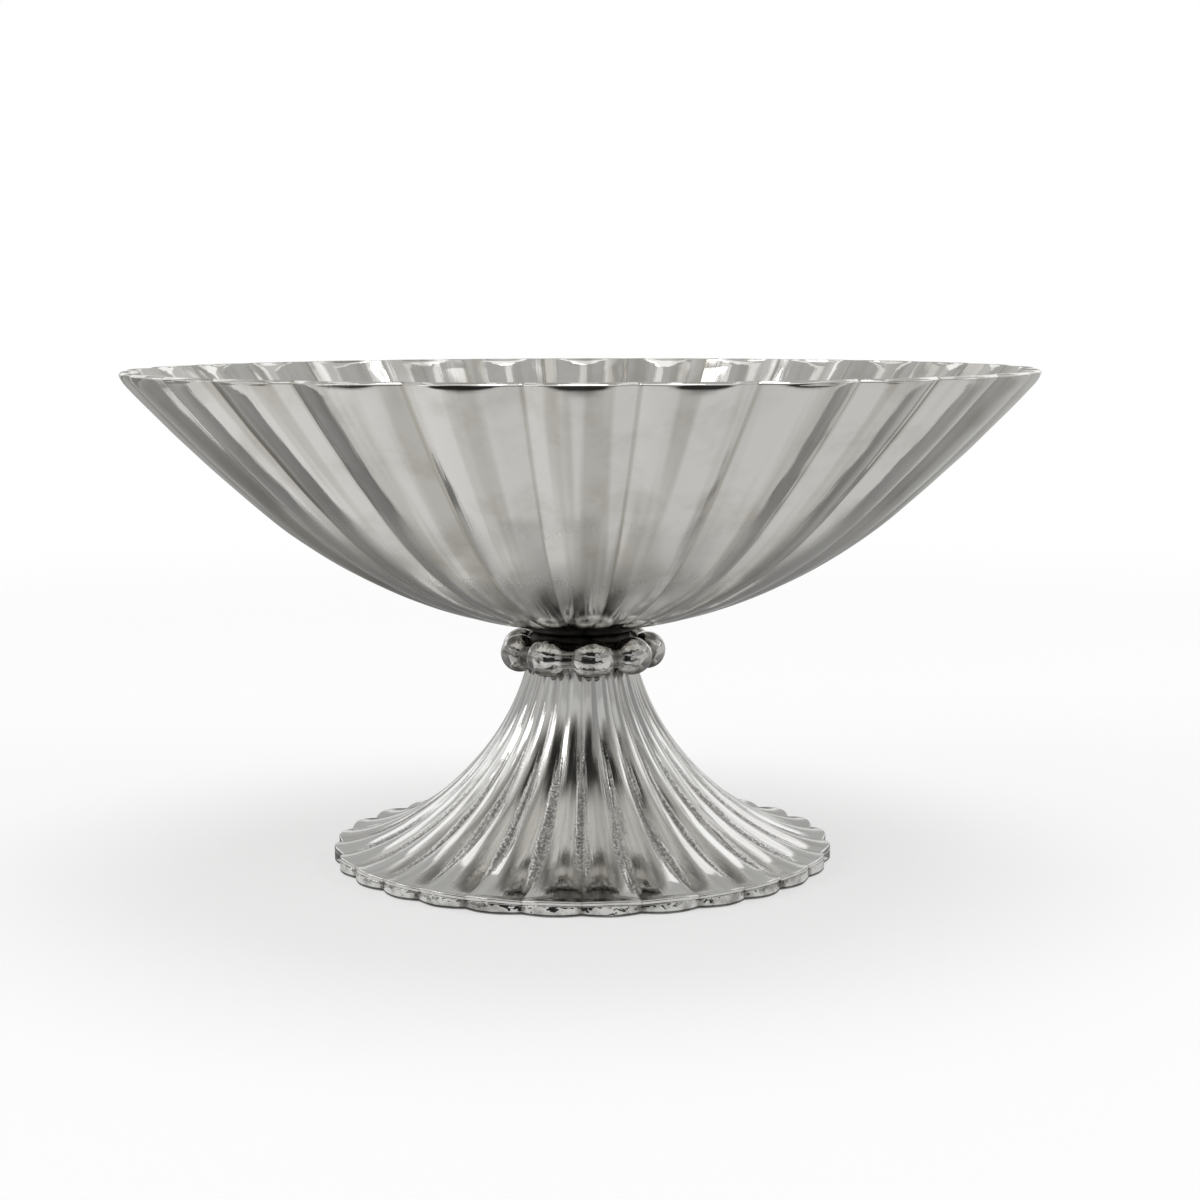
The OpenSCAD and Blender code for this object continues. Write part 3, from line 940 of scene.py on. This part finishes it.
def worn_silver(name, colours, polish, dent_scale, dent_height, stain, shade):
    """Silver on a small piece: dents from use, bright worn heights and darkened hollows.

    Stains cover it by the share 'stain', and painted shade darkens it downwards between the two
    heights in 'shade'.
    """
    shader = Shader(name)
    _, flute = shader.attribute("flute")
    place = shader.place()
    height = shader.node("ShaderNodeSeparateXYZ", Vector=place).outputs["Z"]
    dents = shader.noise(place, dent_scale, 2.0, 0.45)
    hollow = shader.span(flute[0], 0.0, HOLLOW_REACH, HOLLOW_DULL, 0.0)
    stains = shader.span(shader.noise(place, STAIN_SCALE, 3.0, 0.55), 0.44, 0.68, 0.0, stain)
    # Painted shade: darker downwards between the two heights in 'shade', added to stains and hollows
    dull = shader.math("MINIMUM", shader.add(hollow, stains, shader.span(height, *shade, 1.0, 0.0)), 1.0)
    rough = shader.add(shader.times(dull, STAIN_ROUGH), polish)
    return shader.metal(shader.blend(dull, *colours), rough, shader.bump(dents, DENT_BUMP, dent_height))


collar.data.materials.append(worn_silver(
    "collar_silver", (COLLAR_BRIGHT, COLLAR_STAIN_AND_SHADE), polish=0.05, dent_scale=260.0, dent_height=1.0 * MM,
    stain=0.6, shade=COLLAR_SHADE))
band.data.materials.append(worn_silver(
    "band_silver", (BAND_BRIGHT, BAND_STAIN_AND_SHADE), polish=0.06, dent_scale=300.0, dent_height=2.2 * MM,
    stain=0.65, shade=BAND_SHADE))
print("worn finishes:", [piece.data.materials[0].name for piece in (collar, band)])

# %% [markdown]
# ## Turned pieces and fasteners
#
# Boss, bush and washer are plain turned pieces, and their solids are already right, so they stay as they
# are and only get a finish. A lathe leaves rings: a noise that is squeezed in height draws them. Steel
# and brass carry faint stains. The boss stands in the gap above the beads and is painted nearly black, as
# painted shade of that gap.

# %% Turned metal
RING_STRETCH = (0.05, 0.05, 1.0)
RING_ROUGH = 0.14
RING_BUMP = 0.25
RING_HEIGHT = 0.3 * MM
TURNED_STAIN_SCALE = 180.0


def turned_metal(name, bright, stained, polish, ring_scale):
    """Metal as turned or as bought: fine rings round the axis, and stains in broad patches."""
    shader = Shader(name)
    place = shader.place()
    rings = shader.noise(shader.stretch(place, RING_STRETCH), ring_scale, 3.0, 0.6)
    stains = shader.noise(place, TURNED_STAIN_SCALE, 4.0, 0.6)
    colour = shader.blend(shader.span(stains, 0.42, 0.7), bright, stained)
    rough = shader.span(rings, 0.3, 0.7, polish, polish + RING_ROUGH)
    return shader.metal(colour, rough, shader.bump(rings, RING_BUMP, RING_HEIGHT))


steel = turned_metal("plain_steel", rgba(0.58, 0.58, 0.585), rgba(0.36, 0.35, 0.34), 0.28, 2600.0)
stud.data.materials.append(steel)
nut.data.materials.append(steel)
# Each solid's finish: its name, bright and stained colour, polish and scale of the rings
TURNED = {
    # The boss's colours are painted shade: nearly black for the gap above the beads
    "neck_boss": ("shaded_silver", rgba(0.07, 0.066, 0.06), rgba(0.02, 0.019, 0.017), 0.36, 1800.0),
    "locating_bush": ("bush_brass", rgba(0.74, 0.59, 0.32), rgba(0.50, 0.37, 0.18), 0.22, 2200.0),
    "clamp_washer": ("washer_brass", rgba(0.76, 0.61, 0.33), rgba(0.52, 0.39, 0.19), 0.22, 2200.0),
}
for node, finish in TURNED.items():
    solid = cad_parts[node]
    solid.data.materials.clear()
    solid.data.materials.append(turned_metal(*finish))
print("finished solids:", sorted(TURNED))

# %% [markdown]
# ## Floor, world and lamps
#
# The floor is pale and keeps the bowl's shadow. It shines a little by itself for the camera and for
# mirrored rays, which makes the background white without more light on the bowl. The world is white for
# those rays too. Three soft lamps stand above and at the sides, as windows would.

# %% Floor
FLOOR_HALF = 4.0
FLOOR_NEAR = 0.35
FLOOR_FAR = 0.9
FLOOR_PALE = 0.48
FLOOR_GLOW = 0.52


def staged(name, points, faces, material):
    """A floor or card: it belongs to the studio and not to the bowl."""
    mesh = bpy.data.meshes.new(name)
    mesh.from_pydata(points, [], faces)
    mesh.materials.append(material)
    card = bpy.data.objects.new(name, mesh)
    scene.collection.objects.link(card)
    return card


def level_sheet(name, x_span, y_span, height, material):
    """A level rectangle between two values of x and two of y."""
    (left, right), (near, far) = x_span, y_span
    corners = [(left, near, height), (right, near, height), (right, far, height), (left, far, height)]
    return staged(name, corners, [(0, 1, 2, 3)], material)


def seen_directly(shader):
    """1 for rays from the camera, from a mirror and through glass, and 0 for light that is scattered."""
    path = shader.node("ShaderNodeLightPath").outputs
    either = shader.math("MAXIMUM", path["Is Camera Ray"], path["Is Glossy Ray"])
    return shader.math("MAXIMUM", either, path["Is Transmission Ray"])


def floor_finish():
    """A pale matt floor with a glow that only camera and mirrors see. Far away the glow alone is left."""
    shader = Shader("pale_floor")
    far = shader.span(shader.distance(shader.place()), FLOOR_NEAR, FLOOR_FAR)
    level = shader.add(shader.times(far, 1.0 - FLOOR_GLOW), FLOOR_GLOW)
    matt = shader.node("ShaderNodeBsdfDiffuse", Color=rgba(FLOOR_PALE, FLOOR_PALE, FLOOR_PALE))
    none = shader.node("ShaderNodeBsdfDiffuse", Color=rgba(0.0, 0.0, 0.0))
    glow = shader.node("ShaderNodeEmission", Strength=shader.times(seen_directly(shader), level))
    fading = shader.node("ShaderNodeMixShader")
    shader.put(fading, "0", far)
    shader.put(fading, "1", matt.outputs[0])
    shader.put(fading, "2", none.outputs[0])
    both = shader.node("ShaderNodeAddShader")
    shader.put(both, "0", fading.outputs[0])
    shader.put(both, "1", glow.outputs[0])
    shader.put(shader.tree.nodes["Material Output"], "Surface", both.outputs[0])
    return shader.material


level_sheet("floor", (-FLOOR_HALF, FLOOR_HALF), (-FLOOR_HALF, FLOOR_HALF), 0.0, floor_finish())
print("floor across in m:", 2 * FLOOR_HALF)

# %% World
WORLD_FILL = 0.55


class WorldShader(Shader):
    """The same short calls on the world's node tree."""

    def __init__(self, tree):
        self.tree = tree


world = bpy.data.worlds.new("studio")
world.use_nodes = True
scene.world = world
studio = WorldShader(world.node_tree)
strength = studio.add(studio.times(seen_directly(studio), 1.0 - WORLD_FILL), WORLD_FILL)
studio.put(world.node_tree.nodes["Background"], "Color", rgba(1.0, 1.0, 1.0))
studio.put(world.node_tree.nodes["Background"], "Strength", strength)
print("world fill:", WORLD_FILL)

# %% Lamps
MIDDLE = Vector((0.0, 0.0, 0.07))
# Each lamp: name, place, size and power
LAMPS = (
    ("overhead", Vector((0.1, 0.2, 1.5)), 0.9, 7.0),
    ("left_window", Vector((-1.3, -0.5, 0.9)), 0.8, 5.0),
    ("right_window", Vector((1.2, -0.3, 0.8)), 0.6, 3.0),
)


def soft_lamp(name, place, size, power):
    """A square area lamp that faces the middle of the bowl."""
    data = bpy.data.lights.new(name, "AREA")
    data.size = size
    data.energy = power
    lamp = bpy.data.objects.new(name, data)
    facing = (MIDDLE - place).to_track_quat("-Z", "Y").to_matrix()
    lamp.matrix_world = Matrix.Translation(place) @ facing.to_4x4()
    scene.collection.objects.link(lamp)


for name, place, size, power in LAMPS:
    soft_lamp(name, place, size, power)
print("lamps:", [lamp[0] for lamp in LAMPS])

# %% [markdown]
# ## Cards for the silver to mirror
#
# Mirrors need something darker than a white room to show, or they look like paper, so photographers put
# grey and black cards round silver. The cards here are seen only in reflections: they give no light and
# throw no shadow. The table has two, a sheet in front that darkens towards the camera and a wide disc
# under the bowl's belly, darker towards its middle as a painted shadow of the bowl on the table, and darker
# on its left. Dark cards stand low in front, for the black patch on the foot's neck. Round everything is a
# tent of grey panels with open windows between them, which draw the bright lines along the flutes. Strips
# across its ceiling, with a paler sheet above them, show inside the bowl.

# %% Helper: cards
CARD_TINT = rgba(1.0, 1.0, 0.985)
DISC_STEPS = 96


def card_finish(name, level, fades=()):
    """A card that shows as a grey in mirrors: a level, times a smooth step along x, y or away per fade."""
    shader = Shader(name)
    place = shader.place()
    split = shader.node("ShaderNodeSeparateXYZ", Vector=place).outputs
    measures = {"x": split["X"], "y": split["Y"], "away": shader.distance(place)}
    strength = level
    for along, low, high, to_low, to_high in fades:
        strength = shader.times(strength, shader.span(measures[along], low, high, to_low, to_high))
    glow = shader.node("ShaderNodeEmission", Color=CARD_TINT, Strength=strength)
    shader.put(shader.tree.nodes["Material Output"], "Surface", glow.outputs[0])
    return shader.material


def mirror_only(card):
    """Hides a card from the camera, from scattered light and from shadows."""
    card.visible_camera = False
    card.visible_diffuse = False
    card.visible_shadow = False
    card.visible_transmission = False


def card_wall(name, radius, low, high, start, end, steps, level):
    """A curved card round the axis between two heights and two angles from the front, in degrees."""
    angles = np.radians(np.linspace(start, end, steps))
    rings = [round_axis(np.full(steps, radius), angles, height) for height in (low, high)]
    own = np.arange(steps - 1)
    faces = np.stack([own, own + 1, own + 1 + steps, own + steps], axis=-1).tolist()
    mirror_only(staged(name, np.concatenate(rings), faces, card_finish(name, level)))


def card_disc(name, radius, height, level, fades):
    """A level round card about the axis."""
    angles = np.linspace(0.0, 2 * np.pi, DISC_STEPS, endpoint=False)
    ring = round_axis(np.full(DISC_STEPS, radius), angles, height)
    mirror_only(staged(name, ring, [list(range(DISC_STEPS))], card_finish(name, level, fades)))


# %% Cards on the table
SHEET_X = (-0.42, 0.42)
SHEET_Y = (-0.40, -0.01)
SHEET_Z = 0.8 * MM
DISC_R = 0.80
DISC_Z = 0.4 * MM
SHEET_FADES = (("y", -0.23, -0.11, 0.05, 1.0), ("x", -0.16, 0.03, 1.2, 1.0))
# The disc is darker near the axis, a painted shadow of the bowl on the table, and darker to the left
DISC_SHADOW_FADES = (("away", 0.07, 0.36, 0.50, 1.2), ("x", -0.1, 0.1, 0.9, 1.1))
sheet_finish = card_finish("table_sheet", 0.58, SHEET_FADES)
mirror_only(level_sheet("table_sheet", SHEET_X, SHEET_Y, SHEET_Z, sheet_finish))
card_disc("table_beyond", DISC_R, DISC_Z, 0.36, DISC_SHADOW_FADES)
print("cards on the table: 2")

# %% Standing cards and tent
TENT_R = 0.80
TENT_PANEL_STEPS = 33
# Each card: name, radius, lower and upper height, first and last angle, steps and level of grey
STANDING_CARDS = (
    ("grey_left", 0.45, 0.001, 0.08, 220.0, 316.0, 21, 0.25),
    ("dark_front", 0.40, 0.001, 0.15, -44.0, 20.0, 25, 0.02),
    ("dark_low", 0.40, 0.001, 0.05, 20.0, 50.0, 9, 0.04),
    ("front_pane", 0.40, 0.05, 0.15, 20.0, 46.0, 9, 0.40),
    ("grey_front", 0.40, 0.15, 0.18, -50.0, 40.0, 25, 0.06),
    ("grey_above", 0.40, 0.18, 0.27, -30.0, 30.0, 17, 0.38),
    ("back_pane", 0.78, 0.05, 0.13, 148.0, 200.0, 17, 0.8),
    ("tent_low", TENT_R, 0.001, 0.20, 0.0, 360.0, 73, 0.48),
    ("tent_high", TENT_R, 0.75, 1.10, 0.0, 360.0, 73, 0.55),
)
# Each panel of the tent: first and last angle, lower and upper height, and level of grey
TENT_PANELS = (
    (-58, 40, 0.20, 0.75, 0.50), (40, 84, 0.20, 0.75, 0.26), (84, 100, 0.20, 0.75, 0.55),
    (100, 140, 0.20, 0.35, 0.30), (126, 131, 0.35, 0.75, 0.35), (158, 208, 0.20, 0.75, 0.42),
    (232, 238, 0.20, 0.75, 0.35), (258, 262, 0.20, 0.75, 0.35), (238, 280, 0.20, 0.40, 0.36),
    (280, 302, 0.20, 0.58, 0.35),
)
for card in STANDING_CARDS:
    card_wall(*card)
for start, end, low, high, level in TENT_PANELS:
    card_wall(f"tent_panel_{end}", TENT_R, low, high, start, end, TENT_PANEL_STEPS, level)
print("standing cards and panels:", len(STANDING_CARDS) + len(TENT_PANELS))

# %% Ceiling
CEILING_Z = 1.1
CEILING_Y = (-0.1, 0.9)
CEILING_STRIPS_X = ((-1.1, -0.62), (-0.46, -0.06), (0.10, 0.55), (0.72, 1.0))
CEILING_STRIP_GREY = 0.42
BACKING_GAP = 0.02
BACKING_Z = CEILING_Z + BACKING_GAP
BACKING_X = (-1.4, 1.4)
BACKING_GREY = 0.78
backing_finish = card_finish("ceiling_back", BACKING_GREY)
mirror_only(level_sheet("ceiling_back", BACKING_X, CEILING_Y, BACKING_Z, backing_finish))
for number, x_span in enumerate(CEILING_STRIPS_X):
    name = f"ceiling_strip_{number}"
    mirror_only(level_sheet(name, x_span, CEILING_Y, CEILING_Z, card_finish(name, CEILING_STRIP_GREY)))
print("ceiling strips:", len(CEILING_STRIPS_X))
